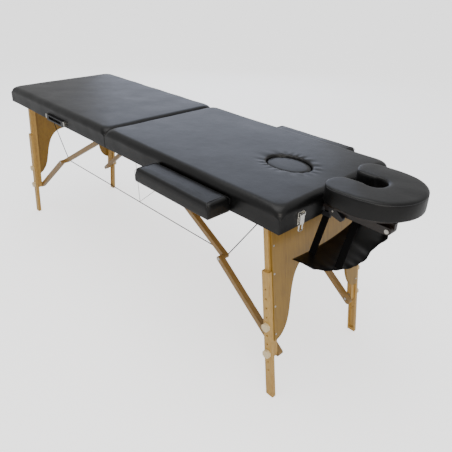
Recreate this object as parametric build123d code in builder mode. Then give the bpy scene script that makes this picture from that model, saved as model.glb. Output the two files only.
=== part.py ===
"""Portable two-section massage table: folding beech legs, steel cables, armrests and a face cradle.

X runs along the table towards the head end, Y across it, Z up. The feet stand on Z = 0, and the
origin is under the middle of the whole object's outline. All sizes are millimetres.
"""
from build123d import *
import os
from math import acos, asin, atan2, cos, degrees, hypot, radians, sin

os.makedirs("parts", exist_ok=True)

# Overall sizes
section_length = 950.0      # one half of the table, from the fold to its end
table_width = 600.0
rail_bottom_z = 676.0       # underside of the wooden frame
frame_height = 42.0         # depth of the bay that the folded legs lie in
deck_thickness = 4.0
pad_thickness = 36.0
fold_gap = 2.0              # between the two padded tops at the fold
hinge_leaf_width = 18.0
hinge_leaf_thickness = 1.2
hinge_length = 540.0
hinge_knuckles = 11
knuckle_radius = 3.0
hinge_pin_radius = 1.2

# Frame
side_rail_thickness = 15.0
end_rail_thickness = 18.0
stop_rail_thickness = 16.0  # cross rail beside the leg pivots

# Legs, in their own plane: u across the leg, w down it from the pivot
leg_splay_deg = 7.11
leg_pivot_inset = 96.0      # pivot axis in from the table's end
leg_pivot_height = 21.0     # pivot axis above the rail's bottom edge
post_width = 20.0
post_depth = 29.0
post_head = 12.0            # post above the pivot
post_end_above_floor = 160.0
extension_width = 32.0
extension_depth = 16.0
extension_length = 500.0
extension_inset = 34.5      # outer face of the extension leg, in from the table's side
groove_depth = 7.0
groove_end = 14.0           # closed end of the groove, above the foot
fit = 0.3                   # clearance between pieces on different bodies
hole_pitch = 36.0
hole_count = 10
hole_radius = 3.4
lower_knob_height = 183.0   # along the leg, from the foot
knob_hole_step = 3          # holes between the two knobs
knob_radius = 15.0
knob_thickness = 12.0
knob_lobes = 8
stud_radius = 3.0
panel_thickness = 9.0
panel_top = 10.0            # below the pivot, along the leg
panel_length = 468.0
arch_apex = 205.0           # below the pivot, along the leg
screw_head_radius = 3.5
screw_head_height = 1.0
screw_places = (112.0, 213.0, 335.0, 444.0)   # below the pivot, along the leg
bolt_head_radius = 7.0
bolt_head_height = 3.5
pivot_radius = 4.0
running_fit = 0.05
pivot_block_length = 30.0

# Braces
link_width = 20.0
link_depth = 22.0
link_gap = 1.0              # between links, and between link and post
brace_pivot_inset = 90.0    # upper link's pivot, out from the fold
brace_offset = -4.0         # lower link's pivot, towards the inside of the post
folded_rise_deg = 0.4       # upper links end up tilted by this much, clear of the end panel
knee_slack = 2.6            # links are this much longer than the straight line between pivots
link_overhang = 24.0        # lower link beyond its pivot
brace_drop = 12.0           # lower link's pivot below the lower knob
brace_block_depth = 40.0

# Cables
cable_radius = 1.6
keeper_radius = 0.7
cable_ferrule_radius = 3.0
cable_side_gap = 5.0        # cable's line beside the upper link
cable_eye_inset = 18.0      # short cable's upper end, from the leg pivot
cable_eye_z = 700.0
keeper_start = 45.0         # from the fold
keeper_ends = (210.0, 430.0)

# Face hole and plug
face_hole_inset = 220.0     # centre, in from the head end
plug_half_length = 87.0
plug_half_width = 65.0
plug_gap = 1.5
plug_ledge = 10.0           # deck left under the plug's rim
plug_sink = 6.0

# Armrests
armrest_length = 385.0
armrest_width = 92.0
armrest_pad_thickness = 33.0
armrest_board = 20.0
armrest_centre = 555.0      # from the fold
armrest_top = 28.0          # below the top of the table
armrest_gap = 4.0
dowel_radius = 7.0
dowel_height = 13.0         # dowel's axis above the board's underside
dowel_spread = 220.0
sleeve_wall = 1.5

# Face cradle
cradle_length = 257.0
cradle_width = 292.0
cradle_gap = 6.0
cradle_cushion_thickness = 62.0
cradle_top_z = 800.0
cradle_plate_thickness = 8.0
cradle_plate_inset = 12.0   # plate's edge inside the cushion's
cradle_hole_radius = 40.0
cradle_slot_half_width = 35.0
cradle_hole_back = 8.0      # face opening's centre behind the middle of the round front
cradle_outer_tip = 62.0
cradle_inner_tip = 30.0
arm_width = 16.0
arm_height = 24.0
arm_y = 86.0
arm_gap = 2.0
arm_reach = 222.0           # front pivot, out from the head end
rod_radius = 8.0
rod_depth = 100.0
rod_drop = 10.0             # rod's axis below the deck
cheek_length = 182.0
cam_reach = 46.0            # cam bolt, out from the head end
cam_hub_radius = 15.0
cam_tip_radius = 8.0
cam_length = 34.0
cam_thickness = 14.0
cam_droop = radians(28)

# Arm sling
sling_near_y = -222.0
sling_far_y = 135.0
sling_depth = 140.0
sling_tuck = 2.0            # sling's edge, in under the head end
strap_lift = 8.0            # near straps' lower ends above the sling's middle
sling_z = 548.0
sling_thickness = 5.0
sling_rise = 26.0           # far edge above the middle
strap_width = 24.0
strap_thickness = 2.0
buckle_drop = 8.0           # below the cross bar, along the strap
buckle_length = 14.0

# Latches and carrying handle
latch_y = 205.0
latch_plate_width = 28.0
latch_pivot_drop = 43.0     # lever's pivot below the top of the table
latch_reach = 5.0           # lever's pivot, out from the end
loop_width = 20.0
loop_length = 50.0
loop_wire = 3.0
handle_centre = 431.0       # from the fold
handle_length = 160.0
handle_height = 27.0
handle_depth = 9.0
handle_bar = 9.0
handle_stand_off = 6.0      # handle's axis out from the side rail
handle_axis_z = 700.0
bracket_length = 14.0

top_z = rail_bottom_z + frame_height + deck_thickness + pad_thickness
deck_z = rail_bottom_z + frame_height
pad_z = deck_z + deck_thickness
half_width = table_width / 2
extension_face_y = half_width - extension_inset
handle_axis_y = half_width + handle_stand_off
rail_inner_y = half_width - side_rail_thickness
keeper_depth = 4.0
armrest_bottom_z = top_z - armrest_top - armrest_pad_thickness - armrest_board
dowel_z = armrest_bottom_z + dowel_height
rod_z = deck_z - rod_drop
cradle_front = section_length + cradle_gap + cradle_length
fold_x = (section_length + keeper_depth - cradle_front) / 2

leaf_start = knuckle_radius + 1
splay = radians(leg_splay_deg)
pivot_x = section_length - leg_pivot_inset
pivot_z = rail_bottom_z + leg_pivot_height
leg_reach = pivot_z / cos(splay)
post_outer_y = extension_face_y - extension_depth + groove_depth - fit
post_inner_y = post_outer_y - post_depth
lower_knob_w = leg_reach - lower_knob_height
upper_knob_w = lower_knob_w - knob_hole_step * hole_pitch
brace_w = lower_knob_w + brace_drop
lower_link_y = post_inner_y - link_gap - link_depth / 2
upper_link_y = lower_link_y - link_gap - link_depth
cable_y = upper_link_y - link_depth / 2 - cable_side_gap

# Brace triangle, in X from the fold and Z, worked out so that the links fold flat beside the legs
foot_pivot_x = pivot_x + brace_w * sin(splay) + brace_offset * cos(splay)
foot_pivot_z = pivot_z - brace_w * cos(splay) + brace_offset * sin(splay)
brace_pivot_z = pivot_z - brace_offset
folded_offset = pivot_x - brace_w - brace_pivot_inset
open_span = hypot(foot_pivot_x - brace_pivot_inset, brace_pivot_z - foot_pivot_z)
lower_link = (open_span + knee_slack - folded_offset) / 2
upper_link = lower_link + folded_offset
span_angle = atan2(brace_pivot_z - foot_pivot_z, foot_pivot_x - brace_pivot_inset)
upper_bend = acos((open_span**2 + upper_link**2 - lower_link**2) / (2 * open_span * upper_link))
upper_angle = span_angle - upper_bend
knee_x = brace_pivot_inset + upper_link * cos(upper_angle)
knee_z = brace_pivot_z - upper_link * sin(upper_angle)
lower_angle = atan2(knee_z - foot_pivot_z, foot_pivot_x - knee_x)
print("leg fold", round(90 + leg_splay_deg, 3))
print("upper link fold", round(degrees(upper_angle) + folded_rise_deg, 3))
lower_rise = degrees(asin(upper_link * sin(radians(folded_rise_deg)) / lower_link))
print("lower link fold", round(90 - degrees(lower_angle) - leg_splay_deg - lower_rise, 3))
print("knee", round(knee_x, 2), round(knee_z, 2), "links", round(lower_link, 2), round(upper_link, 2))
print("fold x", fold_x, "top", top_z, "foot pivot", round(foot_pivot_x, 2), round(foot_pivot_z, 2))


def save(piece, name):
    """Label a finished piece and write its STEP file."""
    piece.label = name
    export_step(piece, f"parts/{name}.step")


def at(side, out, y, z):
    """A point given by its distance out from the fold, on the head (+1) or foot (-1) side."""
    return (fold_x + side * out, y, z)


def place(side, out_a, out_b, y_a, y_b, z_a, z_b):
    """Location and size of a box between two corners given from the fold."""
    middle = at(side, (out_a + out_b) / 2, (y_a + y_b) / 2, (z_a + z_b) / 2)
    return Location(middle), (abs(out_b - out_a), abs(y_b - y_a), abs(z_b - z_a))


def leg_plane(side, y):
    """Plane of one leg: X is the leg's outward face normal, Y runs up the leg, origin on the pivot."""
    return Plane(origin=at(side, pivot_x, y, pivot_z), x_dir=(side * cos(splay), 0, sin(splay)),
                 z_dir=(0, -side, 0))


def upright_plane(side, y):
    """Vertical plane along the table, X out from the fold, Y up, origin on the fold line at the floor."""
    return Plane(origin=at(side, 0, y, 0), x_dir=(side, 0, 0), z_dir=(0, -side, 0))


def across(side, y_from, y_to):
    """Extrusion amount that carries a sketch on one of those planes from one y to another."""
    return (y_to - y_from) * -side


for side, end in ((-1, "foot"), (1, "head")):
    start = fold_gap / 2
    finish = section_length

    # Beech frame: two side rails, rails at the fold and the end, the leg stop rail and pivot blocks
    with BuildPart() as frame:
        for hand in (-1, 1):
            spot, size = place(side, start, finish, hand * rail_inner_y, hand * half_width,
                               rail_bottom_z, deck_z)
            with Locations(spot):
                Box(*size)
            spot, size = place(side, pivot_x - pivot_block_length / 2, pivot_x + pivot_block_length / 2,
                               hand * (post_outer_y + link_gap), hand * rail_inner_y,
                               rail_bottom_z + 3, deck_z)
            with Locations(spot):
                Box(*size)
            spot, size = place(side, brace_pivot_inset - 14, brace_pivot_inset + 14,
                               hand * (upper_link_y + link_depth / 2 + link_gap),
                               hand * (upper_link_y + link_depth / 2 + link_gap + brace_block_depth),
                               rail_bottom_z + 4, deck_z)
            with Locations(spot):
                Box(*size)
        for out, thickness in ((start, end_rail_thickness), (pivot_x + 26, stop_rail_thickness),
                               (finish - end_rail_thickness, end_rail_thickness)):
            spot, size = place(side, out, out + thickness, -rail_inner_y, rail_inner_y,
                               rail_bottom_z, deck_z)
            with Locations(spot):
                Box(*size)
        # Rebate under the fold rail for the piano hinge and its barrel
        spot, size = place(side, start, leaf_start + hinge_leaf_width, -hinge_length / 2, hinge_length / 2,
                           rail_bottom_z, rail_bottom_z + fit + hinge_leaf_thickness)
        with Locations(spot):
            Box(*size, mode=Mode.SUBTRACT)
        with BuildSketch(upright_plane(side, hinge_length / 2)):
            with Locations((0, rail_bottom_z)):
                Circle(leaf_start)
        extrude(amount=across(side, hinge_length / 2, -hinge_length / 2), mode=Mode.SUBTRACT)
        for out, z in ((pivot_x, pivot_z), (brace_pivot_inset, brace_pivot_z)):
            with BuildSketch(upright_plane(side, rail_inner_y)):
                with Locations((out, z)):
                    Circle(pivot_radius)
            extrude(amount=across(side, rail_inner_y, -rail_inner_y), mode=Mode.SUBTRACT)
        if side > 0:
            # Sockets for the armrest dowels and the face cradle's rods
            for reach in (-dowel_spread / 2, dowel_spread / 2):
                with BuildSketch(upright_plane(side, half_width)):
                    with Locations((armrest_centre + reach, dowel_z)):
                        Circle(dowel_radius + sleeve_wall)
                extrude(amount=across(side, half_width, -half_width), mode=Mode.SUBTRACT)
            with BuildSketch(Plane.YZ.offset(fold_x + pivot_x)):
                with Locations((-arm_y, rod_z), (arm_y, rod_z)):
                    Circle(rod_radius + sleeve_wall)
            extrude(amount=leg_pivot_inset, mode=Mode.SUBTRACT)
    save(frame.part, f"{end}_frame")

    # Plywood deck glued on the frame, and the padded top over it
    with BuildPart() as deck:
        spot, size = place(side, start, finish, -half_width, half_width, deck_z, pad_z)
        with Locations(spot):
            Box(*size)
        if side > 0:
            with BuildSketch(Plane.XY.offset(deck_z)):
                with Locations(at(side, section_length - face_hole_inset, 0, 0)[:2]):
                    Ellipse(plug_half_length - plug_ledge, plug_half_width - plug_ledge)
            extrude(amount=deck_thickness, mode=Mode.SUBTRACT)
    save(deck.part, f"{end}_deck")

    with BuildPart() as pad:
        spot, size = place(side, start, section_length, -half_width, half_width, pad_z, top_z)
        with Locations(spot):
            Box(*size)
        fillet(pad.faces().sort_by(Axis.Z)[-1].edges(), radius=pad_thickness / 2)
        if side > 0:
            with BuildSketch(Plane.XY.offset(pad_z)):
                with Locations(at(side, section_length - face_hole_inset, 0, 0)[:2]):
                    Ellipse(plug_half_length + plug_gap, plug_half_width + plug_gap)
            extrude(amount=pad_thickness, mode=Mode.SUBTRACT)
    save(pad.part, f"{end}_pad")

    # Steel bolts that the legs and the upper links turn on, heads inside
    with BuildPart() as pivots:
        for hand in (-1, 1):
            for out, z, y_head, y_end in (
                    (pivot_x, pivot_z, post_inner_y, rail_inner_y),
                    (brace_pivot_inset, brace_pivot_z, upper_link_y - link_depth / 2,
                     upper_link_y + link_depth / 2 + link_gap + brace_block_depth)):
                with BuildSketch(upright_plane(side, hand * y_head)):
                    with Locations((out, z)):
                        Circle(pivot_radius)
                extrude(amount=across(side, hand * y_head, hand * y_end))
                with BuildSketch(upright_plane(side, hand * (y_head - fit))):
                    with Locations((out, z)):
                        Circle(bolt_head_radius)
                extrude(amount=across(side, hand * y_head, hand * (y_head - bolt_head_height)))
                with BuildSketch(upright_plane(side, hand * (y_head - fit))):
                    with Locations((out, z)):
                        Circle(pivot_radius)
                extrude(amount=across(side, hand * (y_head - fit), hand * y_head))
    save(pivots.part, f"{end}_pivot_bolts")

    # Upper posts, with the groove side facing the extension
    with BuildPart() as posts:
        for hand in (-1, 1):
            with BuildSketch(leg_plane(side, hand * post_inner_y)):
                with Locations((0, (post_head - leg_reach + post_end_above_floor) / 2)):
                    RectangleRounded(post_width, post_head + leg_reach - post_end_above_floor, 4)
                with Locations((0, 0)):
                    Circle(pivot_radius + running_fit, mode=Mode.SUBTRACT)
                with Locations((0, -upper_knob_w), (0, -lower_knob_w)):
                    Circle(hole_radius, mode=Mode.SUBTRACT)
                with Locations((brace_offset, -brace_w)):
                    Circle(stud_radius, mode=Mode.SUBTRACT)
            extrude(amount=across(side, hand * post_inner_y, hand * post_outer_y))
            with BuildSketch(leg_plane(side, hand * post_inner_y)):
                with Locations((0, -upper_knob_w), (0, -lower_knob_w)):
                    Circle(2 * stud_radius)
            extrude(amount=across(side, hand * post_inner_y, hand * (post_inner_y + bolt_head_height)),
                    mode=Mode.SUBTRACT)
    save(posts.part, f"{end}_leg_posts")

    # End panel: arched plywood screwed across the outer faces of both posts
    panel_edge = extension_face_y - extension_depth - 2 * fit
    arch = [(0, arch_apex), (52, arch_apex + 1), (96, arch_apex + 9), (130, arch_apex + 36),
            (151, arch_apex + 80), (166, arch_apex + 150), (186, arch_apex + 222),
            (210, arch_apex + 252), (236, arch_apex + 264)]
    panel_plane = Plane(origin=at(side, pivot_x + post_width / 2 * cos(splay), 0,
                                  pivot_z + post_width / 2 * sin(splay)),
                        x_dir=(0, side, 0), z_dir=(side * cos(splay), 0, sin(splay)))
    with BuildPart() as panel:
        with BuildSketch(panel_plane):
            with BuildLine():
                Polyline((-236, -arch_apex - 264), (-panel_edge, -panel_length), (-panel_edge, -panel_top),
                         (panel_edge, -panel_top), (panel_edge, -panel_length), (236, -arch_apex - 264))
                Spline([(y, -w) for y, w in arch[::-1]] + [(-y, -w) for y, w in arch[1:]])
            make_face()
        extrude(amount=panel_thickness)
    save(panel.part, f"{end}_end_panel")

    # Screws of the panel, carriage-bolt heads of the leg bolts and the lower links' pivot bolts
    link_inner_y = lower_link_y - link_depth / 2
    with BuildPart() as fasteners:
        for hand in (-1, 1):
            screws = [(side * hand * (post_outer_y - post_depth / 2), -w) for w in screw_places]
            with BuildSketch(panel_plane.offset(panel_thickness)):
                with Locations(*screws):
                    Circle(screw_head_radius)
            extrude(amount=screw_head_height)
            head_y = link_inner_y + bolt_head_height
            for y_from, y_to, radius, out, down in (
                    (post_outer_y, head_y, stud_radius, brace_offset, brace_w),
                    (head_y, link_inner_y + fit, 2 * stud_radius, brace_offset, brace_w),
                    (post_inner_y + bolt_head_height, post_inner_y, 2 * stud_radius, 0, lower_knob_w),
                    (post_inner_y + bolt_head_height, post_inner_y, 2 * stud_radius, 0, upper_knob_w)):
                with BuildSketch(leg_plane(side, hand * y_from)):
                    with Locations((out, -down)):
                        Circle(radius)
                extrude(amount=across(side, hand * y_from, hand * y_to))
    save(fasteners.part, f"{end}_leg_fasteners")

    # Extension legs: grooved on the inside, ten holes, foot cut level with the floor
    for hand, flank in ((-1, "near"), (1, "far")):
        face = hand * extension_face_y
        back = hand * (extension_face_y - extension_depth)
        holes = [(0, lower_knob_height + (knob - 2) * hole_pitch - leg_reach) for knob in range(hole_count)]
        extension_top = extension_length - leg_reach
        with BuildPart() as extension:
            with BuildSketch(leg_plane(side, face)):
                with Locations((0, extension_top - (extension_length + extension_width) / 2)):
                    Rectangle(extension_width, extension_length + extension_width)
                with Locations(*holes):
                    Circle(hole_radius, mode=Mode.SUBTRACT)
            extrude(amount=across(side, face, back))
            fillet(extension.faces().sort_by(Axis.Y)[0 if hand < 0 else -1].edges().filter_by(GeomType.LINE)
                   .sort_by(SortBy.LENGTH)[-2:], radius=2.5)
            with BuildSketch(leg_plane(side, back)):
                with Locations((0, (extension_top + groove_end - leg_reach) / 2)):
                    Rectangle(post_width + 2 * fit, extension_top - groove_end + leg_reach)
            extrude(amount=across(side, back, back + hand * groove_depth), mode=Mode.SUBTRACT)
            split(bisect_by=Plane.XY, keep=Keep.TOP)
        save(extension.part, f"{end}_{flank}_extension")

        # Scalloped knobs, each with the stud that clamps the extension to the post
        for level, knob_w in (("upper", upper_knob_w), ("lower", lower_knob_w)):
            with BuildPart() as knob:
                with BuildSketch(leg_plane(side, face + hand * fit)):
                    with Locations((0, -knob_w)):
                        Circle(knob_radius)
                        with PolarLocations(knob_radius + 2, knob_lobes):
                            Circle(3.4, mode=Mode.SUBTRACT)
                extrude(amount=across(side, 0, hand * knob_thickness))
                fillet(knob.faces().sort_by(Axis.Y)[0 if hand < 0 else -1].edges(), radius=1.2)
                with BuildSketch(leg_plane(side, back + hand * (groove_depth + fit))):
                    with Locations((0, -knob_w)):
                        Circle(stud_radius)
                extrude(amount=across(side, back + hand * (groove_depth + fit), face + hand * 1))
            save(knob.part, f"{end}_{flank}_{level}_knob")

    # Brace links, lying side by side so that they fold flat
    lower_plane_x = (-side * cos(lower_angle), 0, sin(lower_angle))
    upper_plane_x = (side * cos(upper_angle), 0, -sin(upper_angle))
    for title, pivot, along, length, tail, middle_y in (
            ("lower", (foot_pivot_x, foot_pivot_z), lower_plane_x, lower_link, link_overhang, lower_link_y),
            ("upper", (brace_pivot_inset, brace_pivot_z), upper_plane_x, upper_link, link_width / 2,
             upper_link_y)):
        with BuildPart() as links:
            for hand in (-1, 1):
                inner = hand * (middle_y - link_depth / 2)
                link_plane = Plane(origin=at(side, pivot[0], inner, pivot[1]), x_dir=along,
                                   z_dir=(0, hand, 0))
                with BuildSketch(link_plane):
                    with Locations(((length + link_width / 2 - tail) / 2, 0)):
                        RectangleRounded(length + link_width / 2 + tail, link_width, link_width / 2 - 0.1)
                    Circle((stud_radius if title == "lower" else pivot_radius) + running_fit,
                           mode=Mode.SUBTRACT)
                    with Locations((length, 0)):
                        Circle(stud_radius, mode=Mode.SUBTRACT)
                extrude(amount=link_depth)
                if title == "lower":
                    # Recess for the pivot bolt's head, on the side towards the upper link
                    with BuildSketch(link_plane):
                        Circle(2 * stud_radius + 1)
                    extrude(amount=bolt_head_height + fit, mode=Mode.SUBTRACT)
        save(links.part, f"{end}_{title}_links")

    # Knee bolts: they turn with the lower links, and the upper links' ends swing beside them
    with BuildPart() as knees:
        for hand in (-1, 1):
            for y_from, y_to, radius in (
                    (lower_link_y - link_depth / 2, lower_link_y + link_depth / 2, stud_radius),
                    (lower_link_y + link_depth / 2, lower_link_y + link_depth / 2 + 0.6, 2 * stud_radius)):
                with BuildSketch(upright_plane(side, hand * y_from)):
                    with Locations((knee_x, knee_z)):
                        Circle(radius)
                extrude(amount=across(side, hand * y_from, hand * y_to))
    save(knees.part, f"{end}_knee_bolts")

    # Piano hinge: each leaf carries every other knuckle
    knuckle_pitch = hinge_length / hinge_knuckles
    with BuildPart() as leaf:
        spot, size = place(side, leaf_start, leaf_start + hinge_leaf_width, -hinge_length / 2,
                           hinge_length / 2, rail_bottom_z + fit, rail_bottom_z + fit + hinge_leaf_thickness)
        with Locations(spot):
            Box(*size)
        for knuckle in range(0 if side < 0 else 1, hinge_knuckles, 2):
            y_from = knuckle * knuckle_pitch - hinge_length / 2 + fit
            y_to = y_from + knuckle_pitch - 2 * fit
            with BuildSketch(upright_plane(side, y_from)):
                with Locations((0, rail_bottom_z)):
                    Circle(knuckle_radius)
                with Locations(((hinge_pin_radius + leaf_start + 1) / 2,
                                rail_bottom_z + fit + hinge_leaf_thickness / 2)):
                    Rectangle(leaf_start + 1 - hinge_pin_radius, hinge_leaf_thickness)
                with Locations((0, rail_bottom_z)):
                    Circle(hinge_pin_radius + running_fit, mode=Mode.SUBTRACT)
            extrude(amount=across(side, y_from, y_to))
    save(leaf.part, f"{end}_hinge_leaf")

    # Steel cables: knee to the deck above the legs, and knee to the middle of the table
    with BuildPart() as cables:
        for hand in (-1, 1):
            y = hand * cable_y
            knee = Vector(*at(side, knee_x, y, knee_z))
            with Locations(knee):
                Sphere(cable_ferrule_radius)
            for target in (at(side, pivot_x - cable_eye_inset, y, cable_eye_z), at(side, fit, y, knee_z)):
                run = Vector(*target) - knee
                with BuildSketch(Plane(origin=knee, z_dir=run)):
                    Circle(cable_radius)
                extrude(amount=run.length)
            with BuildSketch(upright_plane(side, hand * (upper_link_y - link_depth / 2))):
                with Locations((knee_x, knee_z)):
                    Circle(cable_ferrule_radius)
            extrude(amount=across(side, hand * (upper_link_y - link_depth / 2), y))
            with BuildSketch(Plane.XY.offset(cable_eye_z - cable_radius)):
                with Locations(at(side, pivot_x - cable_eye_inset, y, 0)[:2]):
                    Circle(cable_ferrule_radius)
            extrude(amount=deck_z - cable_eye_z + cable_radius)
    save(cables.part, f"{end}_cables")

# Thin cords that hold the long cables up to the head section's side rails
with BuildPart() as keepers:
    for hand in (-1, 1):
        low = Vector(*at(1, keeper_start, hand * cable_y, knee_z + cable_radius + keeper_radius))
        for out in keeper_ends:
            rail_y = hand * (half_width - side_rail_thickness / 2)
            run = Vector(*at(1, out, rail_y, rail_bottom_z - keeper_radius)) - low
            with BuildSketch(Plane(origin=low, z_dir=run)):
                Circle(keeper_radius)
            extrude(amount=run.length)
save(keepers.part, "cable_keepers")

with BuildPart() as hinge_pin:
    with BuildSketch(upright_plane(1, hinge_length / 2)):
        with Locations((0, rail_bottom_z)):
            Circle(hinge_pin_radius)
    extrude(amount=across(1, hinge_length / 2, -hinge_length / 2))
save(hinge_pin.part, "hinge_pin")

with BuildPart() as plug:
    with BuildSketch(Plane.XY.offset(pad_z)):
        with Locations(at(1, section_length - face_hole_inset, 0, 0)[:2]):
            Ellipse(plug_half_length, plug_half_width)
    extrude(amount=pad_thickness - plug_sink)
    fillet(plug.faces().sort_by(Axis.Z)[-1].edges(), radius=6)
save(plug.part, "face_hole_plug")

# Sleeves in the head section for the armrest dowels and the cradle's rods
with BuildPart() as sockets:
    for hand in (-1, 1):
        with BuildSketch(upright_plane(1, hand * rail_inner_y)):
            for reach in (-dowel_spread / 2, dowel_spread / 2):
                with Locations((armrest_centre + reach, dowel_z)):
                    Circle(dowel_radius + sleeve_wall)
                    Circle(dowel_radius + running_fit, mode=Mode.SUBTRACT)
        extrude(amount=across(1, hand * rail_inner_y, hand * half_width))
    with BuildSketch(Plane.YZ.offset(fold_x + section_length - end_rail_thickness)):
        for y in (-arm_y, arm_y):
            with Locations((y, rod_z)):
                Circle(rod_radius + sleeve_wall)
                Circle(rod_radius + running_fit, mode=Mode.SUBTRACT)
    extrude(amount=end_rail_thickness)
save(sockets.part, "head_sockets")

# Armrests: padded top on a board with two dowels
for hand, flank in ((-1, "near"), (1, "far")):
    inner = hand * (half_width + armrest_gap)
    outer = hand * (half_width + armrest_gap + armrest_width)
    low, high = armrest_centre - armrest_length / 2, armrest_centre + armrest_length / 2
    with BuildPart() as armrest:
        spot, size = place(1, low, high, inner, outer, armrest_bottom_z + armrest_board, top_z - armrest_top)
        with Locations(spot):
            Box(*size)
        fillet(armrest.faces().sort_by(Axis.Z)[-1].edges(), radius=9)
    save(armrest.part, f"{flank}_armrest_pad")
    with BuildPart() as board:
        spot, size = place(1, low, high, inner, outer, armrest_bottom_z, armrest_bottom_z + armrest_board)
        with Locations(spot):
            Box(*size)
        with BuildSketch(upright_plane(1, inner)):
            with Locations((armrest_centre - dowel_spread / 2, dowel_z),
                           (armrest_centre + dowel_spread / 2, dowel_z)):
                Circle(dowel_radius)
        extrude(amount=across(1, inner, hand * (rail_inner_y + fit)))
    save(board.part, f"{flank}_armrest_board")

# Draw latches on the head end, and the keepers that their loops catch on the foot end
latch_pivot_z = top_z - latch_pivot_drop
with BuildPart() as latch_bases:
    for hand in (-1, 1):
        y = hand * latch_y
        for out_a, out_b, y_a, y_b, z_a, z_b in (
                (0, 1.5, -latch_plate_width / 2, latch_plate_width / 2, -34, 8),
                (1.5, latch_reach + 3, -13, -11, -6, 6), (1.5, latch_reach + 3, 11, 13, -6, 6)):
            spot, size = place(1, section_length + out_a, section_length + out_b, y + y_a, y + y_b,
                               latch_pivot_z + z_a, latch_pivot_z + z_b)
            with Locations(spot):
                Box(*size)
        with BuildSketch(upright_plane(1, y - 13)):
            with Locations((section_length + latch_reach, latch_pivot_z)):
                Circle(hinge_pin_radius)
        extrude(amount=across(1, y - 13, y + 13))
save(latch_bases.part, "latch_bases")

for hand, flank in ((-1, "near"), (1, "far")):
    y = hand * latch_y
    with BuildPart() as lever:
        with BuildSketch(upright_plane(1, y - 10)):
            with Locations((section_length + latch_reach, latch_pivot_z)):
                Circle(knuckle_radius)
            with Locations((section_length + latch_reach + 1.5, latch_pivot_z - 17)):
                Rectangle(2.4, 32)
            with Locations((section_length + latch_reach, latch_pivot_z)):
                Circle(hinge_pin_radius + running_fit, mode=Mode.SUBTRACT)
        extrude(amount=across(1, y - 10, y + 10))
        with BuildSketch(Plane.YZ.offset(fold_x + section_length + latch_reach - loop_wire + 0.5)):
            with Locations((y, latch_pivot_z - 8 - loop_length / 2)):
                RectangleRounded(loop_width, loop_length, 4)
                RectangleRounded(loop_width - 2 * loop_wire, loop_length - 2 * loop_wire, 2,
                                 mode=Mode.SUBTRACT)
        extrude(amount=loop_wire)
    save(lever.part, f"{flank}_latch_lever")

with BuildPart() as latch_keepers:
    for hand in (-1, 1):
        for out, depth, z_a, z_b in ((0, 2, 2, 14), (2, keeper_depth - 2, 11, 14)):
            spot, size = place(-1, section_length + out, section_length + out + depth,
                               hand * latch_y - 6, hand * latch_y + 6,
                               rail_bottom_z + z_a, rail_bottom_z + z_b)
            with Locations(spot):
                Box(*size)
save(latch_keepers.part, "latch_keepers")

# Carrying handle on the foot section's near side rail
with BuildPart() as brackets:
    for reach in (-1, 1):
        inner_end = handle_centre + reach * (handle_length / 2 + fit)
        spot, size = place(-1, inner_end, inner_end + reach * bracket_length, -half_width,
                           -handle_axis_y - 5, handle_axis_z - 16, handle_axis_z + 5)
        with Locations(spot):
            Box(*size)
        with BuildSketch(Plane.YZ.offset(fold_x - inner_end)):
            with Locations((-handle_axis_y, handle_axis_z)):
                Circle(stud_radius)
        extrude(amount=reach * handle_bar * 0.8)
save(brackets.part, "handle_brackets")

with BuildPart() as grip:
    with BuildSketch(upright_plane(-1, -handle_axis_y + handle_depth / 3)):
        with Locations((handle_centre, handle_axis_z + 4 - handle_height / 2)):
            RectangleRounded(handle_length, handle_height, 6)
            with Locations((0, 2)):
                RectangleRounded(handle_length - 4 * handle_bar, handle_height - 12, 5, mode=Mode.SUBTRACT)
    extrude(amount=across(-1, 0, -handle_depth))
    with BuildSketch(Plane.YZ.offset(fold_x - handle_centre - handle_length)):
        with Locations((-handle_axis_y, handle_axis_z)):
            Circle(stud_radius + running_fit)
    extrude(amount=2 * handle_length, mode=Mode.SUBTRACT)
save(grip.part, "handle_grip")

# Face cradle: rods in the head end, a cross bar with two arms, and the tilting plate on its cheeks
head_end = fold_x + section_length
arm_pivot_x = head_end + arm_reach
cross_bar_x = head_end + 8
with BuildPart() as rods:
    with BuildSketch(Plane.YZ.offset(head_end - rod_depth)):
        with Locations((-arm_y, rod_z), (arm_y, rod_z)):
            Circle(rod_radius)
    extrude(amount=rod_depth + 8)
save(rods.part, "cradle_rods")

with BuildPart() as arms:
    with Locations((cross_bar_x + 10, 0, rod_z)):
        Box(20, 2 * arm_y + arm_width, arm_height)
    for hand in (-1, 1):
        with BuildSketch(Plane(origin=(arm_pivot_x, hand * (arm_y - arm_width / 2), rod_z), x_dir=(1, 0, 0),
                               z_dir=(0, hand, 0))):
            Circle(arm_height / 2)
            with Locations(((cross_bar_x - arm_pivot_x) / 2, 0)):
                Rectangle(arm_pivot_x - cross_bar_x, arm_height)
            Circle(stud_radius, mode=Mode.SUBTRACT)
            with Locations((head_end + cam_reach - arm_pivot_x, 0)):
                Circle(stud_radius, mode=Mode.SUBTRACT)
        extrude(amount=arm_width)
save(arms.part, "cradle_arms")

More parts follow.
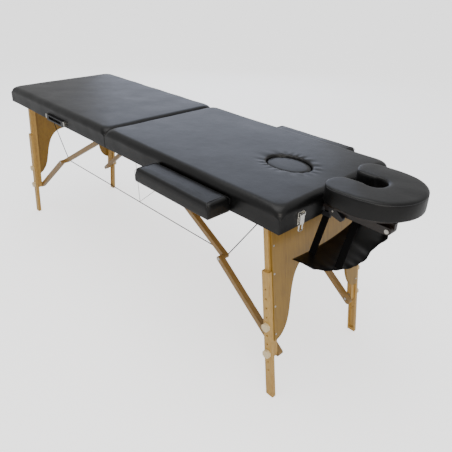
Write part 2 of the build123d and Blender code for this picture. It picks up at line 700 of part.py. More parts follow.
cheek_y = arm_y - arm_width / 2 - arm_gap
plate_z = cradle_top_z - cradle_cushion_thickness - cradle_plate_thickness
cradle_radius = cradle_width / 2
cradle_middle_x = fold_x + cradle_front - cradle_radius
cradle_back_x = fold_x + cradle_front - cradle_length
for name, inset, z, thickness in (
        ("cradle_cushion", 0, plate_z + cradle_plate_thickness, cradle_cushion_thickness),
        ("cradle_plate", cradle_plate_inset, plate_z, cradle_plate_thickness)):
    back = cradle_back_x + inset
    with BuildPart() as horseshoe:
        with BuildSketch(Plane.XY.offset(z)):
            with Locations((cradle_middle_x, 0)):
                Circle(cradle_radius - inset)
            with Locations(((back + cradle_middle_x) / 2, 0)):
                Rectangle(cradle_middle_x - back, 2 * (cradle_radius - inset))
            front = fold_x + cradle_front - inset
            with Locations(((back + front) / 2, 0)):
                Rectangle(front - back, 2 * (cradle_radius - inset), mode=Mode.INTERSECT)
            with Locations((cradle_middle_x - cradle_hole_back, 0)):
                Circle(cradle_hole_radius + inset, mode=Mode.SUBTRACT)
            with Locations((back, 0)):
                Rectangle(2 * (cradle_middle_x - cradle_hole_back - back),
                          2 * (cradle_slot_half_width + inset), mode=Mode.SUBTRACT)
        extrude(amount=thickness)
        tips = horseshoe.edges().filter_by(Axis.Z).group_by(Axis.X)[0].sort_by(Axis.Y)
        fillet([tips[0], tips[3]], radius=cradle_outer_tip - inset)
        tips = horseshoe.edges().filter_by(Axis.Z).group_by(Axis.X)[0].sort_by(Axis.Y)
        fillet([tips[1], tips[2]], radius=cradle_inner_tip)
        if name == "cradle_plate":
            # Two cheeks under the plate, inside the arms, that it tilts on
            for outer_y in (-cheek_y, cheek_y - arm_width):
                with BuildSketch(Plane(origin=(arm_pivot_x, outer_y, rod_z), x_dir=(1, 0, 0),
                                       z_dir=(0, -1, 0))):
                    Circle(arm_height / 2)
                    with Locations((-cheek_length / 2, (plate_z - rod_z - arm_height / 2) / 2)):
                        Rectangle(cheek_length, plate_z - rod_z + arm_height / 2)
                    with Locations((arm_height / 4, (plate_z - rod_z) / 2)):
                        Rectangle(arm_height / 2, plate_z - rod_z)
                    Circle(stud_radius + running_fit, mode=Mode.SUBTRACT)
                extrude(amount=-arm_width)
    save(horseshoe.part, name)

# Pivot bolts at the arms' front ends, and the bolt that the cam lever pulls on
with BuildPart() as cradle_bolts:
    for hand in (-1, 1):
        arm_outer = arm_y + arm_width / 2
        for x, y_from, y_to, radius in (
                (arm_pivot_x, cheek_y - arm_width, arm_outer, stud_radius),
                (arm_pivot_x, arm_outer, arm_outer + bolt_head_height, bolt_head_radius)):
            with BuildSketch(Plane(origin=(x, hand * y_from, rod_z), z_dir=(0, hand, 0))):
                Circle(radius)
            extrude(amount=y_to - y_from)
    with BuildSketch(Plane(origin=(head_end + cam_reach, -arm_y + arm_width / 2, rod_z), z_dir=(0, -1, 0))):
        Circle(stud_radius)
    extrude(amount=arm_width + fit + cam_thickness)
save(cradle_bolts.part, "cradle_bolts")

with BuildPart() as cam_lever:
    with BuildSketch(Plane(origin=(head_end + cam_reach, -arm_y - arm_width / 2 - fit, rod_z),
                           x_dir=(cos(cam_droop), 0, -sin(cam_droop)), z_dir=(0, -1, 0))):
        with BuildLine():
            hub_turn = acos((cam_hub_radius - cam_tip_radius) / cam_length)
            hub_top = (cam_hub_radius * cos(hub_turn), cam_hub_radius * sin(hub_turn))
            tip_top = (cam_length + cam_tip_radius * cos(hub_turn), cam_tip_radius * sin(hub_turn))
            ThreePointArc(hub_top, (-cam_hub_radius, 0), (hub_top[0], -hub_top[1]))
            Line((hub_top[0], -hub_top[1]), (tip_top[0], -tip_top[1]))
            ThreePointArc((tip_top[0], -tip_top[1]), (cam_length + cam_tip_radius, 0), tip_top)
            Line(tip_top, hub_top)
        make_face()
        Circle(stud_radius + running_fit, mode=Mode.SUBTRACT)
    extrude(amount=cam_thickness)
save(cam_lever.part, "cam_lever")

# Arm sling: a shelf of leathercloth on four straps that loop under the cradle's arms
sling_back_x = head_end - sling_tuck
middle_y = (sling_near_y + sling_far_y) / 2
with BuildPart() as sling:
    with BuildSketch(Plane.YZ.offset(sling_back_x)):
        with BuildLine():
            ThreePointArc((sling_near_y, sling_z + sling_rise / 2), (middle_y - 20, sling_z - 4),
                          (sling_far_y, sling_z + sling_rise))
            offset(amount=sling_thickness / 2, side=Side.BOTH)
        make_face()
    extrude(amount=sling_depth)
save(sling.part, "arm_sling")

strap_feet = ((-1, sling_near_y + 72, sling_z + strap_lift), (1, sling_far_y - 12, sling_z + sling_rise))
with BuildPart() as straps:
    for x in (cross_bar_x + 10, head_end + sling_depth - 22):
        for hand, foot_y, foot_z in strap_feet:
            high = Vector(x, hand * arm_y, rod_z - arm_height / 2 - 1)
            run = Vector(x, foot_y, foot_z) - high
            with BuildSketch(Plane(origin=high, x_dir=(1, 0, 0), z_dir=run)):
                Rectangle(strap_width, strap_thickness)
            extrude(amount=run.length)
save(straps.part, "sling_straps")

# Ladder-lock buckles round the two straps at the cross bar
with BuildPart() as buckles:
    for hand, foot_y, foot_z in strap_feet:
        high = Vector(cross_bar_x + 10, hand * arm_y, rod_z - arm_height / 2 - 1)
        run = Vector(cross_bar_x + 10, foot_y, foot_z) - high
        with BuildSketch(Plane(origin=high + run.normalized() * buckle_drop, x_dir=(1, 0, 0), z_dir=run)):
            RectangleRounded(strap_width + 8, strap_thickness + 6, 2)
            Rectangle(strap_width + 1, strap_thickness + 1, mode=Mode.SUBTRACT)
        extrude(amount=buckle_length)
save(buckles.part, "sling_buckles")
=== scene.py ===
"""Portable massage table in black leathercloth on beech legs, standing open with its face cradle on."""
import math
import bpy
import numpy as np
from mathutils import Matrix, Vector


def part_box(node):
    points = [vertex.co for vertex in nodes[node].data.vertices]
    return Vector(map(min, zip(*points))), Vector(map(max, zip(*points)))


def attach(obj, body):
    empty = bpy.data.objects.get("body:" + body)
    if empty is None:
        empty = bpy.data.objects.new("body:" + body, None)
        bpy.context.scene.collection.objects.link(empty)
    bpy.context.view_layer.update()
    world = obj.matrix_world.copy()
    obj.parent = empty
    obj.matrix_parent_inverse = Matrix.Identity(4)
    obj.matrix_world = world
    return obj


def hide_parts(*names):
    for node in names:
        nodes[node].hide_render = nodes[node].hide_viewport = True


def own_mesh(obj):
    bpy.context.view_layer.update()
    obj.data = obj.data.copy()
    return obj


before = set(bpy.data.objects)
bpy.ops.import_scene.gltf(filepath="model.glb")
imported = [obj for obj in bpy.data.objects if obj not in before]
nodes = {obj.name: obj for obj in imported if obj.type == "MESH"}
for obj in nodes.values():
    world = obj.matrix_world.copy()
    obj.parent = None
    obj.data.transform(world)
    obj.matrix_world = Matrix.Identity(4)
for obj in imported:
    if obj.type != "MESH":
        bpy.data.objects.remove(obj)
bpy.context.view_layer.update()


# ---- Studio: a plain pale floor under soft light, and the camera -------------------------------
# The floor is one matt white sheet under the whole table. It and the world look brighter to the
# camera than they light the table. Of three soft lamps the biggest, behind the foot end, puts the
# pale sheen on the padded tops.
def linear(hex_colour):
    """Linear colour of an sRGB hex code."""
    parts = [int(hex_colour[i:i + 2], 16) / 255 for i in (1, 3, 5)]
    return [c / 12.92 if c <= 0.04045 else ((c + 0.055) / 1.055) ** 2.4 for c in parts] + [1.0]


def add(tree, kind, **inputs):
    """A new shader node of that kind, with sockets set by name, from a value or another socket."""
    made = tree.nodes.new("ShaderNode" + kind)
    for name, value in inputs.items():
        socket = made.inputs[name.replace("_", " ")]
        if isinstance(value, bpy.types.NodeSocket):
            tree.links.new(value, socket)
        else:
            socket.default_value = value
    return made


def material(name, colour, roughness, metallic=0.0, ior=1.5):
    """A new material, its tree and its main shader."""
    made = bpy.data.materials.new(name)
    made.use_nodes = True
    shader = made.node_tree.nodes["Principled BSDF"]
    shader.inputs["Base Color"].default_value = linear(colour)
    shader.inputs["Roughness"].default_value = roughness
    shader.inputs["Metallic"].default_value = metallic
    shader.inputs["IOR"].default_value = ior
    return made, made.node_tree, shader


def put(obj, finish, smooth=False):
    """Give obj one finish."""
    obj.data.materials.clear()
    obj.data.materials.append(finish)
    if smooth:
        obj.data.shade_smooth()


floor_finish, floor_tree, floor_shader = material("matt white floor", "#F8F8F8", 0.9)
floor_shader.inputs["Emission Color"].default_value = linear("#FFFFFF")
floor_seen = add(floor_tree, "LightPath").outputs["Is Camera Ray"]
floor_glow = add(floor_tree, "MapRange", Value=floor_seen, To_Min=0.0, To_Max=1.3)
floor_tree.links.new(floor_glow.outputs["Result"], floor_shader.inputs["Emission Strength"])
floor_mesh = bpy.data.meshes.new("floor")
floor_mesh.from_pydata([(-60, -60, 0), (60, -60, 0), (60, 60, 0), (-60, 60, 0)], [], [(0, 1, 2, 3)])
floor = bpy.data.objects.new("floor", floor_mesh)
bpy.context.scene.collection.objects.link(floor)
put(floor, floor_finish)

world = bpy.data.worlds.new("studio")
world.use_nodes = True
sky_tree = world.node_tree
sky = sky_tree.nodes["Background"]
sky.inputs["Color"].default_value = linear("#FFFFFF")
world_seen = add(sky_tree, "LightPath").outputs["Is Camera Ray"]
world_glow = add(sky_tree, "MapRange", Value=world_seen, To_Min=0.72, To_Max=2.1)
sky_tree.links.new(world_glow.outputs["Result"], sky.inputs["Strength"])
bpy.context.scene.world = world

for name, place, aim, width, power, tint in (
        ("sheen softbox", (-2.9, 2.9, 2.4), (0, 0, 0.75), 3.2, 36, "#D4E0FF"),
        ("top softbox", (0.2, -0.4, 3.2), (0, 0, 0.7), 2.4, 44, "#FFFFFF"),
        ("key softbox", (3.2, -2.2, 2.2), (0.2, 0, 0.5), 1.6, 45, "#FFF8EE")):
    lamp = bpy.data.lights.new(name, "AREA")
    lamp.shape, lamp.size, lamp.energy, lamp.color = "SQUARE", width, power, linear(tint)[:3]
    lamp_object = bpy.data.objects.new(name, lamp)
    lamp_object.location = place
    lamp_object.rotation_euler = (Vector(aim) - Vector(place)).to_track_quat("-Z", "Y").to_euler()
    bpy.context.scene.collection.objects.link(lamp_object)

turn, lift, roll = math.radians(45.726), math.radians(26.208), math.radians(1.713)
forward = Vector((-math.sin(turn) * math.cos(lift), math.cos(turn) * math.cos(lift), -math.sin(lift)))
right = Vector((math.cos(turn), math.sin(turn), 0))
upward = right.cross(forward)
cam_right = right * math.cos(roll) + upward * math.sin(roll)
cam_up = upward * math.cos(roll) - right * math.sin(roll)
camera = bpy.data.objects.new("camera", bpy.data.cameras.new("camera"))
camera.matrix_world = Matrix((
    (cam_right.x, cam_up.x, -forward.x, 1.5789), (cam_right.y, cam_up.y, -forward.y, -1.2575),
    (cam_right.z, cam_up.z, -forward.z, 1.3817), (0, 0, 0, 1)))
camera.data.sensor_width = 36
camera.data.lens = 38.51
camera.data.shift_y = -0.0575
bpy.context.scene.collection.objects.link(camera)
bpy.context.scene.camera = camera

# ---- Sizes read from the frame -----------------------------------------------------------------
# The height of the tops and of the rails' undersides come from the CAD boxes.
top_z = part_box("head_pad")[1].z
rail_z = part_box("head_frame")[0].z


# ---- Beech: frame, posts, extension legs, links, armrest boards --------------------------------
# Clear-lacquered beech sticks. The grain runs along each stick, with the short dark flecks beech
# has, and the sawn edges are eased by about a millimetre.
def wood(name, colour, dark, along, fleck_scale, contrast, roughness):
    """A lacquered wood whose grain runs along a direction, from object coordinates in metres."""
    finish, tree, shader = material(name, colour, roughness)
    shader.inputs["Coat Weight"].default_value = 0.1
    shader.inputs["Coat Roughness"].default_value = 0.3
    turned = Vector(along).rotation_difference(Vector((0, 0, 1))).to_euler()
    where = add(tree, "TexCoord").outputs["Object"]
    mapped = add(tree, "Mapping", Vector=where, Rotation=turned)
    grain = add(tree, "Mapping", Vector=mapped.outputs["Vector"], Scale=(60, 60, 2.5))
    flecks = add(tree, "Mapping", Vector=mapped.outputs["Vector"],
                 Scale=(fleck_scale, fleck_scale, fleck_scale / 9))
    broad = add(tree, "TexNoise", Vector=grain.outputs["Vector"], Scale=1.0, Detail=4.0, Roughness=0.6)
    fine = add(tree, "TexNoise", Vector=flecks.outputs["Vector"], Scale=1.0, Detail=2.0, Roughness=0.5)
    mixed = add(tree, "Math", Value=broad.outputs["Fac"])
    mixed.operation = "MULTIPLY_ADD"
    mixed.inputs[1].default_value = 0.75
    tree.links.new(fine.outputs["Fac"], mixed.inputs[2])
    ramp = add(tree, "ValToRGB", Fac=mixed.outputs["Value"])
    ramp.color_ramp.elements[0].position = 0.55
    ramp.color_ramp.elements[0].color = linear(dark)
    ramp.color_ramp.elements[1].position = 0.55 + contrast
    ramp.color_ramp.elements[1].color = linear(colour)
    tree.links.new(ramp.outputs["Color"], shader.inputs["Base Color"])
    eased = add(tree, "Bevel", Radius=0.0009)
    bump = add(tree, "Bump", Height=fine.outputs["Fac"], Strength=0.06, Distance=0.0006,
               Normal=eased.outputs["Normal"])
    tree.links.new(bump.outputs["Normal"], shader.inputs["Normal"])
    return finish


leg_lean = math.sin(math.radians(7.11))
for end, side in (("foot", -1), ("head", 1)):
    leg_run = (side * leg_lean, 0, -1)
    upright = wood(f"lacquered beech, {end} legs", "#BD974F", "#9D7439", leg_run, 420, 0.4, 0.42)
    for name in ("leg_posts", "near_extension", "far_extension"):
        put(nodes[f"{end}_{name}"], upright)
    for name in ("upper_links", "lower_links"):
        low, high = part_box(f"{end}_{name}")
        run = (side * (high.x - low.x), 0, low.z - high.z)
        # The links get a darker copy of the same beech: painted shade for their shadowed side.
        shaded_link_beech = wood(f"lacquered beech, {end} {name}", "#8F7140", "#775A2E", run, 420, 0.4, 0.42)
        put(nodes[f"{end}_{name}"], shaded_link_beech)
rail_beech = wood("lacquered beech, rails", "#B5894A", "#946A35", (1, 0, 0), 420, 0.4, 0.45)
for name in ("foot_frame", "head_frame", "near_armrest_board", "far_armrest_board"):
    put(nodes[name], rail_beech)

# ---- Plywood: decks and arched end panels ------------------------------------------------------
# Thin birch-type plywood with a golden lacquer; the face veneer's grain runs up the panel.
panel_ply = wood("golden lacquered plywood", "#8C6A1C", "#785813", (leg_lean, 0, -1), 160, 0.5, 0.4)
for name in ("foot_end_panel", "head_end_panel"):
    put(nodes[name], panel_ply)
deck_ply = wood("plain plywood", "#B99B6A", "#A5875A", (1, 0, 0), 160, 0.5, 0.6)
for name in ("foot_deck", "head_deck"):
    put(nodes[name], deck_ply)

# ---- Metal: bolts, screws, hinge, latches, brackets --------------------------------------------
# Zinc-plated steel with a faint brushed unevenness. The latches are brighter, nickel-plated.
zinc, zinc_tree, zinc_shader = material("zinc plated steel", "#B9B7B0", 0.34, metallic=1.0)
zinc_where = add(zinc_tree, "TexCoord").outputs["Object"]
zinc_noise = add(zinc_tree, "TexNoise", Vector=zinc_where, Scale=900.0, Detail=2.0)
zinc_rough = add(zinc_tree, "MapRange", Value=zinc_noise.outputs["Fac"], To_Min=0.26, To_Max=0.46)
zinc_tree.links.new(zinc_rough.outputs["Result"], zinc_shader.inputs["Roughness"])
for name in ("pivot_bolts", "leg_fasteners", "knee_bolts", "hinge_leaf"):
    for end in ("foot", "head"):
        put(nodes[f"{end}_{name}"], zinc)
for name in ("hinge_pin", "latch_keepers", "handle_brackets", "cradle_bolts"):
    put(nodes[name], zinc)
nickel, _, _ = material("nickel plated latch", "#D6D4CE", 0.18, metallic=1.0)
for name in ("latch_bases", "near_latch_lever", "far_latch_lever"):
    put(nodes[name], nickel)

# ---- Knobs: cream turned wood ------------------------------------------------------------------
# Scalloped hand knobs with a satin finish that clamp the extension legs.
knob_cream, _, _ = material("cream satin knob", "#DCC9A0", 0.45)
for end in ("foot", "head"):
    for flank in ("near", "far"):
        for level in ("upper", "lower"):
            put(nodes[f"{end}_{flank}_{level}_knob"], knob_cream)

# ---- Black fittings: handle, sleeves, cam lever, buckles, cradle frame -------------------------
# Injection-moulded nylon with a fine matt grain, and the cradle's dark-stained wood.
nylon, nylon_tree, nylon_shader = material("black moulded nylon", "#17171A", 0.38)
nylon_where = add(nylon_tree, "TexCoord").outputs["Object"]
nylon_noise = add(nylon_tree, "TexNoise", Vector=nylon_where, Scale=1400.0, Detail=1.0)
nylon_edge = add(nylon_tree, "Bevel", Radius=0.0012)
nylon_bump = add(nylon_tree, "Bump", Height=nylon_noise.outputs["Fac"], Strength=0.2, Distance=0.0001,
                 Normal=nylon_edge.outputs["Normal"])
nylon_tree.links.new(nylon_bump.outputs["Normal"], nylon_shader.inputs["Normal"])
for name in ("handle_grip", "head_sockets", "cam_lever", "sling_buckles"):
    put(nodes[name], nylon)
stained = wood("dark brown stained wood", "#1C120C", "#120B08", (1, 0, 0), 300, 0.5, 0.4)
for name in ("cradle_rods", "cradle_arms", "cradle_plate"):
    put(nodes[name], stained)

# ---- Leathercloth covers of the two padded tops ------------------------------------------------
# Black polyurethane leathercloth pulled over foam and down over the beech rails, where it is
# stapled. The edges are round, the corners gathered, and each half drops away at the fold.
leather, leather_tree, leather_shader = material("black leathercloth", "#060606", 0.36, ior=1.38)
leather_where = add(leather_tree, "TexCoord").outputs["Object"]
pebble = add(leather_tree, "TexVoronoi", Vector=leather_where, Scale=650.0)
pebble.feature = "SMOOTH_F1"
creep = add(leather_tree, "TexNoise", Vector=leather_where, Scale=14.0, Detail=3.0, Roughness=0.55)
creep_bump = add(leather_tree, "Bump", Height=creep.outputs["Fac"], Strength=0.25, Distance=0.004)
pebble_bump = add(leather_tree, "Bump", Height=pebble.outputs["Distance"], Strength=0.25, Distance=0.0003,
                  Normal=creep_bump.outputs["Normal"])
leather_tree.links.new(pebble_bump.outputs["Normal"], leather_shader.inputs["Normal"])
leather_rough = add(leather_tree, "MapRange", Value=creep.outputs["Fac"], To_Min=0.32, To_Max=0.42)
leather_tree.links.new(leather_rough.outputs["Result"], leather_shader.inputs["Roughness"])


def surface(name, rings, cap_first=False, cap_last=False):
    """Mesh through closed rings of points, each ring (n, 3), with an optional fan at either end."""
    rings = np.asarray(rings, float)
    count, n = rings.shape[:2]
    points = rings.reshape(-1, 3)
    a = (np.arange(count - 1)[:, None] * n + np.arange(n)[None]).ravel()
    b = (np.arange(count - 1)[:, None] * n + (np.arange(n)[None] + 1) % n).ravel()
    faces = np.stack([a, b, b + n, a + n], 1).tolist()
    for wanted, first, flip in ((cap_first, 0, True), (cap_last, (count - 1) * n, False)):
        if wanted:
            points = np.vstack([points, points[first:first + n].mean(0)])
            tip = len(points) - 1
            for k in range(n):
                pair = (first + k, first + (k + 1) % n)
                faces.append([pair[1], pair[0], tip] if flip else [pair[0], pair[1], tip])
    mesh = bpy.data.meshes.new(name)
    mesh.from_pydata(points.tolist(), [], faces)
    mesh.shade_smooth()
    obj = bpy.data.objects.new(name, mesh)
    bpy.context.scene.collection.objects.link(obj)
    return obj


def rounded_outline(half_x, half_y, radius, straight_x, straight_y, corner):
    """Points round a rectangle with round corners: fixed counts per side, so that rings match up."""
    points = []
    for quarter, (sx, sy) in enumerate(((1, -1), (1, 1), (-1, 1), (-1, -1))):
        centre = np.array([sx * (half_x - radius), sy * (half_y - radius)])
        start = quarter * math.pi / 2 - math.pi / 2
        for k in range(corner):
            angle = start + math.pi / 2 * k / (corner - 1)
            points.append(centre + radius * np.array([math.cos(angle), math.sin(angle)]))
        nxt = ((1, 1), (-1, 1), (-1, -1), (1, -1))[quarter]
        end = np.array([nxt[0] * (half_x - radius), nxt[1] * (half_y - radius)])
        end = end + radius * np.array([math.cos(start + math.pi / 2), math.sin(start + math.pi / 2)])
        count = straight_y if quarter % 2 == 0 else straight_x
        for k in range(1, count):
            points.append(points[-1] + (end - points[-1]) / (count - k + 1))
    return np.array(points)


def unevenness(points, seed, amount, wavelength):
    """Small smooth heights at points: a sum of sine waves in seeded directions."""
    rng = np.random.default_rng(seed)
    total = np.zeros(len(points))
    for _ in range(14):
        way = rng.normal(size=3)
        way /= np.linalg.norm(way)
        length = wavelength * rng.uniform(0.6, 1.8)
        total += np.sin(points @ way * 2 * math.pi / length + rng.uniform(0, 6.28))
    return amount * total / math.sqrt(7)


hole_low, hole_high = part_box("face_hole_plug")
hole_centre = np.array([(hole_low.x + hole_high.x) / 2, 0.0])
hole_radii = np.array([(hole_high.x - hole_low.x) / 2 + 0.0015, (hole_high.y - hole_low.y) / 2 + 0.0015])
skirt = ((0.0003, 0.0003, 0.0018), (0.0, 0.004, 0.002), (0.0, 0.015, 0.0022), (0.0, 0.03, 0.0024),
         (-0.0002, 0.0468, 0.0028), (-0.0006, 0.0505, 0.010), (-0.0008, 0.054, 0.018))
for end, side in (("foot", -1), ("head", 1)):
    low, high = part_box(f"{end}_frame")
    middle = np.array([(low.x + high.x) / 2, 0.0])
    half_x, half_y = (high.x - low.x) / 2 + 0.0008, high.y + 0.0012
    rings = []
    for inset, above, radius in skirt:
        flat = rounded_outline(half_x - inset, half_y - inset, radius, 120, 80, 9) + middle
        rings.append(np.column_stack([flat, np.full(len(flat), rail_z + above)]))
    edge_z = rail_z + skirt[-1][1]
    for k in range(1, 15):
        angle = math.pi / 2 * k / 14
        inset = -0.0008 + 0.030 * (1 - math.cos(angle) ** 0.9)
        radius = 0.026 + 0.5 * max(inset, 0)
        flat = rounded_outline(half_x - inset, half_y - inset, radius, 120, 80, 9) + middle
        height = edge_z + (top_z - 0.0012 - edge_z) * math.sin(angle)
        rings.append(np.column_stack([flat, np.full(len(flat), height)]))
    outer = rings[-1][:, :2]
    if side > 0:
        toward = (outer - hole_centre) / hole_radii
        inner = hole_centre + toward / np.linalg.norm(toward, axis=1)[:, None] * (hole_radii + 0.009)
    else:
        inner = middle + (outer - middle) * np.array([0.5, 0.2])
    for k in range(1, 41):
        t = k / 40
        flat = outer + (inner - outer) * t
        reach = np.minimum(half_x - abs(flat[:, 0] - middle[0]), half_y - abs(flat[:, 1] - middle[1]))
        crown = 0.0016 * (1 - np.exp(-(reach - 0.03) / 0.05))
        gap = np.linalg.norm((flat - hole_centre) / hole_radii, axis=1) - 1
        angle = np.arctan2(flat[:, 1], flat[:, 0] - hole_centre[0])
        pucker = (-0.003 * np.exp(-gap / 0.22) + 0.0009 * np.sin(angle * 17 + 2 * np.sin(angle * 3))
                  * np.exp(-((gap - 0.22) / 0.2) ** 2))
        rings.append(np.column_stack([flat, top_z - 0.0012 + crown + (pucker if side > 0 else 0)]))
    if side > 0:
        rim_z = rings[-1][:, 2]
        for grow, drop in ((0.005, 0.0012), (0.002, 0.004), (0.0004, 0.008), (0.0, 0.014), (0.0, 0.034)):
            flat = hole_centre + toward / np.linalg.norm(toward, axis=1)[:, None] * (hole_radii + grow)
            rings.append(np.column_stack([flat, rim_z - drop]))
    rings = np.array(rings)
    shape = rings.shape
    points = rings.reshape(-1, 3)
    soft = np.clip((points[:, 2] - (rail_z + 0.03)) / 0.04, 0, 1)
    points[:, 2] += soft * unevenness(points, 5 + side, 0.00045, 0.16)
    points[:, 1] += np.sign(points[:, 1]) * np.where(abs(points[:, 1]) > half_y - 0.01,
                                                     unevenness(points, 8 + side, 0.0004, 0.11), 0)
    cover = surface(f"{end}_cover", points.reshape(shape), cap_last=side < 0)
    put(cover, leather)
    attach(cover, f"{end}_section")
    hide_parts(f"{end}_pad")

# ---- Face-hole plug ----------------------------------------------------------------------------
# The oval of foam in the same leathercloth that fills the face hole, a little below the top.
plug_bottom, plug_top = hole_low.z, hole_high.z
rings = []
for share, height in ((0.97, 0.0), (0.995, 0.004), (1.0, 0.014), (0.995, 0.020), (0.975, 0.0245),
                      (0.93, 0.0275), (0.86, 0.029), (0.7, 0.0298), (0.5, 0.0300), (0.25, 0.0301),
                      (0.06, 0.0301)):
    angle = np.linspace(0, 2 * math.pi, 97)[:-1]
    rim = (hole_radii - 0.0016) * (1 - (1 - share) * np.array([0.65, 1.0]))
    rings.append(np.column_stack([hole_centre[0] + rim[0] * np.cos(angle) * (share if share < 0.9 else 1),
                                  rim[1] * np.sin(angle) * (share if share < 0.9 else 1),
                                  plug_bottom + np.full(96, height) / 0.0301 * (plug_top - plug_bottom)]))
plug = surface("plug_cushion", rings, cap_first=True, cap_last=True)
put(plug, leather)
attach(plug, "plug")
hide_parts("face_hole_plug")

# ---- Armrests ----------------------------------------------------------------------------------
# Foam on a beech board, wrapped whole in leathercloth. The end panels are sewn in, so a low welt
# runs across the top near each end and down both faces.
welt_finish, _, _ = material("black sewn welt", "#1A1A1C", 0.42)


def tube(name, path, radius, closed=False, sides=8):
    """Round tube of one radius along a path of points."""
    path = np.asarray(path, float)
    ahead = np.roll(path, -1, 0) - np.roll(path, 1, 0)
    if not closed:
        ahead[0], ahead[-1] = path[1] - path[0], path[-1] - path[-2]
    ahead /= np.linalg.norm(ahead, axis=1)[:, None]
    rings = []
    across = np.cross(ahead[0], [0.3, 0.2, 0.93])
    for point, way in zip(path, ahead):
        across = across - way * (across @ way)
        across /= np.linalg.norm(across)
        other = np.cross(way, across)
        angle = np.linspace(0, 2 * math.pi, sides + 1)[:-1, None]
        rings.append(point + radius * (np.cos(angle) * across + np.sin(angle) * other))
    if closed:
        rings.append(rings[0])
    return surface(name, rings, cap_first=not closed, cap_last=not closed)


for flank in ("near", "far"):
    low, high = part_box(f"{flank}_armrest_pad")
    base_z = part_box(f"{flank}_armrest_board")[0].z
    middle = np.array([(low.x + high.x) / 2, (low.y + high.y) / 2])
    half_x, half_y = (high.x - low.x) / 2 + 0.001, (high.y - low.y) / 2 + 0.001
    tall = high.z - base_z
    rings = []
    for inset, above, radius in ((0.010, -0.0008, 0.002), (0.001, -0.0008, 0.0022), (0.0, 0.002, 0.0024),
                                 (-0.0003, 0.2 * tall, 0.0026), (-0.0006, 0.41 * tall, 0.003),
                                 (-0.0010, 0.52 * tall, 0.008),
                                 (-0.0008, 0.68 * tall, 0.012), (0.0, 0.76 * tall, 0.012)):
        flat = rounded_outline(half_x - inset, half_y - inset, radius, 70, 20, 7) + middle
        rings.append(np.column_stack([flat, np.full(len(flat), base_z + above)]))
    shoulder = base_z + 0.76 * tall
    for k in range(1, 9):
        angle = math.pi / 2 * k / 8
        inset = 0.012 * (1 - math.cos(angle))
        flat = rounded_outline(half_x - inset, half_y - inset, 0.012, 70, 20, 7) + middle
        height = shoulder + (high.z - 0.002 - shoulder) * math.sin(angle)
        rings.append(np.column_stack([flat, np.full(len(flat), height)]))
    outer = rings[-1][:, :2]
    for share in (0.2, 0.45, 0.7, 0.98):
        flat = outer * (1 - share) + (middle + (outer - middle) * np.array([0.8, 0.3])) * share
        height = high.z - 0.002 + 0.002 * math.sin(share * math.pi / 2)
        rings.append(np.column_stack([flat, np.full(len(flat), height)]))
    rings = np.array(rings)
    rings[:, :, 2] += (np.clip((rings[:, :, 2] - base_z) / 0.03, 0, 1)
                       * unevenness(rings.reshape(-1, 3), 21, 0.0003, 0.09).reshape(rings.shape[:2]))
    cover = surface(f"{flank}_armrest_cover", rings, cap_last=True)
    put(cover, leather)
    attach(cover, f"{flank}_armrest")
    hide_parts(f"{flank}_armrest_pad")
    for end, sign in (("foot_end", -1), ("head_end", 1)):
        x = middle[0] + sign * (half_x - 0.014)
        edge, rise = shoulder - base_z, tall - 0.002 - shoulder + base_z
        turn_over = [(half_y - 0.012 * (1 - math.cos(a)), edge + rise * math.sin(a), math.sin(a))
                     for a in np.linspace(1.57, 0.2, 7)]
        across = [(y, tall - 0.001, 1.0) for y in np.linspace(-half_y + 0.02, half_y - 0.02, 12)]
        down = [(half_y + 0.0006, 0.72 * tall * k / 8, 0.0) for k in range(8, 0, -1)]
        up = [(-y, z, w) for y, z, w in reversed(turn_over + down)]
        path = [(x + sign * 0.012 * (1 - w), middle[1] + y, base_z + z)
                for y, z, w in up + across + turn_over + down]
        welt = tube(f"{flank}_armrest_welt_{end}", path, 0.0008)
        put(welt, welt_finish)
        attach(welt, f"{flank}_armrest")

# ---- Face cradle cushion -----------------------------------------------------------------------
# A deep horseshoe of foam. A flat top panel and a boxing strip 60 mm high are sewn together with a
# narrow seam round the top edge. The strip's ends meet in an upright seam on the near side, not drawn.
cushion_low, cushion_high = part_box("cradle_cushion")
outer_radius = (cushion_high.y - cushion_low.y) / 2
foam_fullness = 0.007   # the front stands this far past its CAD solid
centre_x = cushion_high.x - outer_radius + foam_fullness
hole_x, hole_radius, slot_half = centre_x - foam_fullness - 0.008, 0.040, 0.035
stations = []
for share in np.linspace(0, 1, 161):
    # Outer line: from the near tip round the front to the far tip, by arc length
    straight = centre_x - cushion_low.x
    around = math.pi * outer_radius
    total = 2 * straight + around
    s = share * total
    if s < straight:
        out = np.array([cushion_low.x + s, -outer_radius])
    elif s < straight + around:
        a = -math.pi / 2 + (s - straight) / outer_radius
        out = np.array([centre_x, 0]) + outer_radius * np.array([math.cos(a), math.sin(a)])
    else:
        out = np.array([centre_x - (s - straight - around), outer_radius])
    # Inner line: along the slot, round the face opening, and back
    open_angle = math.pi - math.asin(slot_half / hole_radius)
    slot_end = hole_x + hole_radius * math.cos(open_angle)
    run = slot_end - cushion_low.x
    arc = 2 * open_angle * hole_radius
    t = share * (2 * run + arc)
    if t < run:
        inn = np.array([cushion_low.x + t, -slot_half])
    elif t < run + arc:
        a = -open_angle + (t - run) / hole_radius
        inn = np.array([hole_x, 0]) + hole_radius * np.array([math.cos(a), math.sin(a)])
    else:
        inn = np.array([slot_end - (t - run - arc), slot_half])
    stations.append((out, inn))
tip_length = 0.05
profile = []
for k in range(40):
    a = 2 * math.pi * k / 40
    c, s = math.cos(a), math.sin(a)
    profile.append((math.copysign(abs(c) ** 0.22, c), math.copysign(abs(s) ** (0.30 if s > 0 else 0.16), s)))
profile = np.array(profile)
middle_z, half_z = (cushion_low.z + cushion_high.z) / 2, (cushion_high.z - cushion_low.z) / 2
rings = []
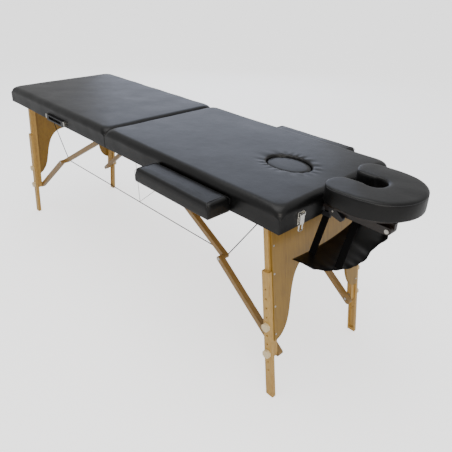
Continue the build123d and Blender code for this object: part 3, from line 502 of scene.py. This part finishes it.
for index, (out, inn) in enumerate(stations):
    centre, half = (out + inn) / 2, (out - inn) / 2
    from_tip = min(centre[0] - cushion_low.x, tip_length) / tip_length if index not in (0, 160) else 0
    if abs(centre[1]) < 0.02 or centre[0] > centre_x - 0.02:
        from_tip = 1
    narrow = math.sqrt(max(0.0, 1 - (1 - from_tip) ** 2.2))
    narrow = max(narrow, 0.04)
    tall = half_z * (0.9 + 0.1 * narrow)
    ring = [(*(centre + half * c * narrow), middle_z + tall * s) for c, s in profile]
    rings.append(ring)
rings = np.array(rings)
rings[:, :, 2] += (np.clip((rings[:, :, 2] - middle_z) / half_z, 0, 1)
                   * unevenness(rings.reshape(-1, 3), 33, 0.0007, 0.09).reshape(rings.shape[:2]))
cushion = surface("cradle_cushion_cover", rings, cap_first=True, cap_last=True)
edge = int(np.argmin(np.hypot(profile[:, 0] - 0.99, profile[:, 1] - 0.8)))
seam = tube("cradle_cushion_seam", rings[6:155, edge], 0.0011)
put(seam, welt_finish)
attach(seam, "cradle_rest")
put(cushion, leather)
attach(cushion, "cradle_rest")
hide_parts("cradle_cushion")

# ---- Arm sling ---------------------------------------------------------------------------------
# A shelf for the forearms: two layers of leathercloth with a thin filling, hung from the cradle's
# arms by four webbing straps. Its front edge is curved, it creases across, and its far end turns up.
sling_low, sling_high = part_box("arm_sling")


def sling_point(u, v, thickness):
    """Point of the sling, u across the table 0-1, v outwards 0-1, at that height off its mid-surface."""
    y = sling_low.y + (sling_high.y - sling_low.y) * u
    reach = (sling_high.x - sling_low.x) * np.interp(u, (0, 0.12, 0.35, 0.58, 0.7, 0.8, 0.92, 1),
                                                     (0.6, 0.8, 0.98, 1.0, 0.9, 0.93, 1.0, 0.86))
    x = sling_low.x + reach * v
    arc = 4 * (u - 0.46) ** 2
    z = sling_low.z + 0.006 + 0.030 * arc * (1.0 if u > 0.46 else 0.55)
    z += 0.006 * math.sin(3.1 * u + 2.4 * v) - 0.010 * v * (1 - u) * (1 - abs(2 * u - 1))
    z += 0.0012 * math.sin(55 * u) * v ** 4 - 0.006 * v * math.exp(-((u - 0.7) / 0.05) ** 2)
    puff = (1 - abs(2 * u - 1) ** 6) ** 0.5 * (1 - abs(2 * v - 1) ** 6) ** 0.5
    return x, y, z + thickness * puff


steps_u, steps_v = 72, 32
rings = []
for k in range(steps_v * 2):
    v = k / (steps_v - 1) if k < steps_v else (2 * steps_v - 1 - k) / (steps_v - 1)
    lift = 0.0035 if k < steps_v else -0.0035
    rings.append([sling_point(i / (steps_u - 1), v, lift) for i in range(steps_u)])
rings = np.transpose(np.array(rings), (1, 0, 2))
sling = surface("sling_cloth", rings, cap_first=True, cap_last=True)
put(sling, leather)
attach(sling, "cradle_base")
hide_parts("arm_sling")

# ---- Webbing straps ----------------------------------------------------------------------------
# Woven black nylon tape, 24 mm wide, from the cradle's arms down to the sling.
tape, tape_tree, tape_shader = material("black nylon webbing", "#050505", 0.9, ior=1.2)
tape_where = add(tape_tree, "TexCoord").outputs["Object"]
tape_weave = add(tape_tree, "TexWave", Vector=tape_where, Scale=160.0, Distortion=0.5)
tape_bump = add(tape_tree, "Bump", Height=tape_weave.outputs["Fac"], Strength=0.4, Distance=0.0004)
tape_tree.links.new(tape_bump.outputs["Normal"], tape_shader.inputs["Normal"])
put(nodes["sling_straps"], tape)

# ---- Cables and keeper cords -------------------------------------------------------------------
# Thin stranded steel cables from the knees to the decks and along the middle of the table, and
# thin dark cords that hold the long cables up to the rails. All are taut when the table stands; each
# is carried rigidly by one section. They are drawn a little fuller than their CAD solids, to show.
cord_fullness = 0.0004
strand, _, _ = material("dark stranded steel cable", "#0C0B0A", 0.7)
cord_finish, _, _ = material("dark nylon cord", "#4A3F33", 0.8)
for name, body, finish, slot_name in (("foot_cables", "foot_section", strand, "steel_cable"),
                                      ("head_cables", "head_section", strand, "steel_cable"),
                                      ("cable_keepers", "head_section", cord_finish, "cord")):
    copy = bpy.data.objects.new(f"{name}_run", nodes[name].data.copy())
    bpy.context.scene.collection.objects.link(copy)
    for vertex in copy.data.vertices:
        vertex.co += vertex.normal * cord_fullness
    put(copy, finish)
    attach(copy, body)
    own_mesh(copy)
    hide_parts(name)
